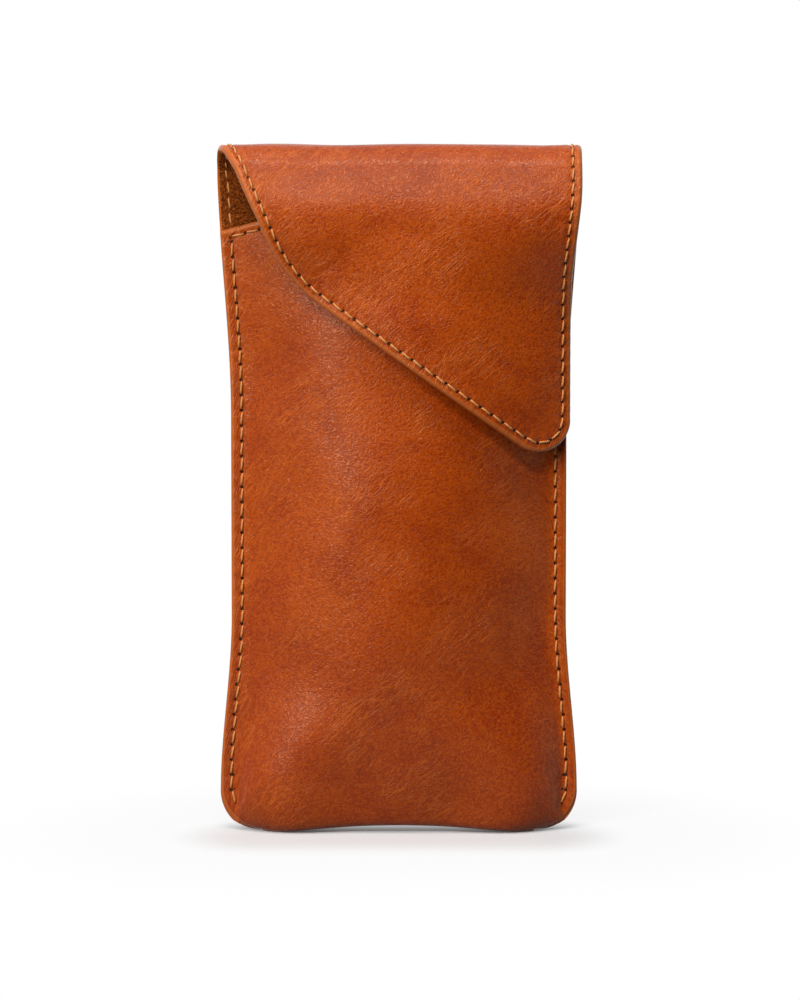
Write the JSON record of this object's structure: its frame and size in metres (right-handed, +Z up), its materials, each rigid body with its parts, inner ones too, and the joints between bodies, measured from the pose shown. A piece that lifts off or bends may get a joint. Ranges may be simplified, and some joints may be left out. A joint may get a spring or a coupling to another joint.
{
  "type": "sunglasses sleeve",
  "caption": "Soft upright leather sleeve for folded sunglasses, lined with suede, stitched down both sides, with a slanted flap folded over the mouth and held by hidden magnets.",
  "frame": {"origin": "middle of the bounding box's underside, on the surface that the sleeve stands on", "axes": "+Z up along the sleeve, +X to the right seen from the front, +Y from the front to the back"},
  "size_m": [0.0866, 0.036, 0.166],
  "materials": {
    "leather": "marbled orange-brown pull-up leather, satin",
    "suede_lining": "dark brown suede, matt",
    "thread": "tan waxed sewing thread",
    "magnet": "nickel plating"
  },
  "bodies": {
    "sleeve": {"body_leather": "leather", "body_lining": "suede_lining", "front_magnet": "magnet", "mouth_thread_outer": "thread", "mouth_thread_inner": "thread", "side_thread_front_left": "thread", "side_thread_front_right": "thread", "side_thread_back_left": "thread", "side_thread_back_right": "thread", "upper_thread_inner_left": "thread", "upper_thread_inner_right": "thread"},
    "fold_back": {"fold_back_leather": "leather", "fold_back_lining": "suede_lining", "fold_back_thread_outer_left": "thread", "fold_back_thread_outer_right": "thread", "fold_back_thread_inner_left": "thread", "fold_back_thread_inner_right": "thread"},
    "fold_top": {"fold_top_leather": "leather", "fold_top_lining": "suede_lining", "fold_top_thread_outer_left": "thread", "fold_top_thread_outer_right": "thread", "fold_top_thread_inner_left": "thread", "fold_top_thread_inner_right": "thread"},
    "fold_front": {"fold_front_leather": "leather", "fold_front_lining": "suede_lining", "fold_front_thread_outer_left": "thread", "fold_front_thread_outer_right": "thread", "fold_front_thread_inner_left": "thread", "fold_front_thread_inner_right": "thread"},
    "flap": {"flap_leather": "leather", "flap_lining": "suede_lining", "flap_magnet": "magnet", "flap_thread_outer": "thread", "flap_thread_inner": "thread"}
  },
  "joints": [
    {"name": "fold_back_bend", "type": "hinge", "parent": "sleeve", "child": "fold_back", "pos_m": [0, 0.00622, 0.15989], "axis": [-1, 0, 0], "range_deg": [0, 45]},
    {"name": "fold_top_bend", "type": "hinge", "parent": "fold_back", "child": "fold_top", "pos_m": [0, 0.00138, 0.16501], "axis": [-1, 0, 0], "range_deg": [0, 45]},
    {"name": "fold_front_bend", "type": "hinge", "parent": "fold_top", "child": "fold_front", "pos_m": [0, -0.00566, 0.16521], "axis": [-1, 0, 0], "range_deg": [0, 45]},
    {"name": "flap_bend", "type": "hinge", "parent": "fold_front", "child": "flap", "pos_m": [0, -0.01078, 0.16037], "axis": [-1, 0, 0], "range_deg": [0, 45]}
  ],
  "couplings": [
    {"joint": "fold_back_bend", "follows": "flap_bend", "ratio": 1},
    {"joint": "fold_top_bend", "follows": "flap_bend", "ratio": 1},
    {"joint": "fold_front_bend", "follows": "flap_bend", "ratio": 1}
  ]
}
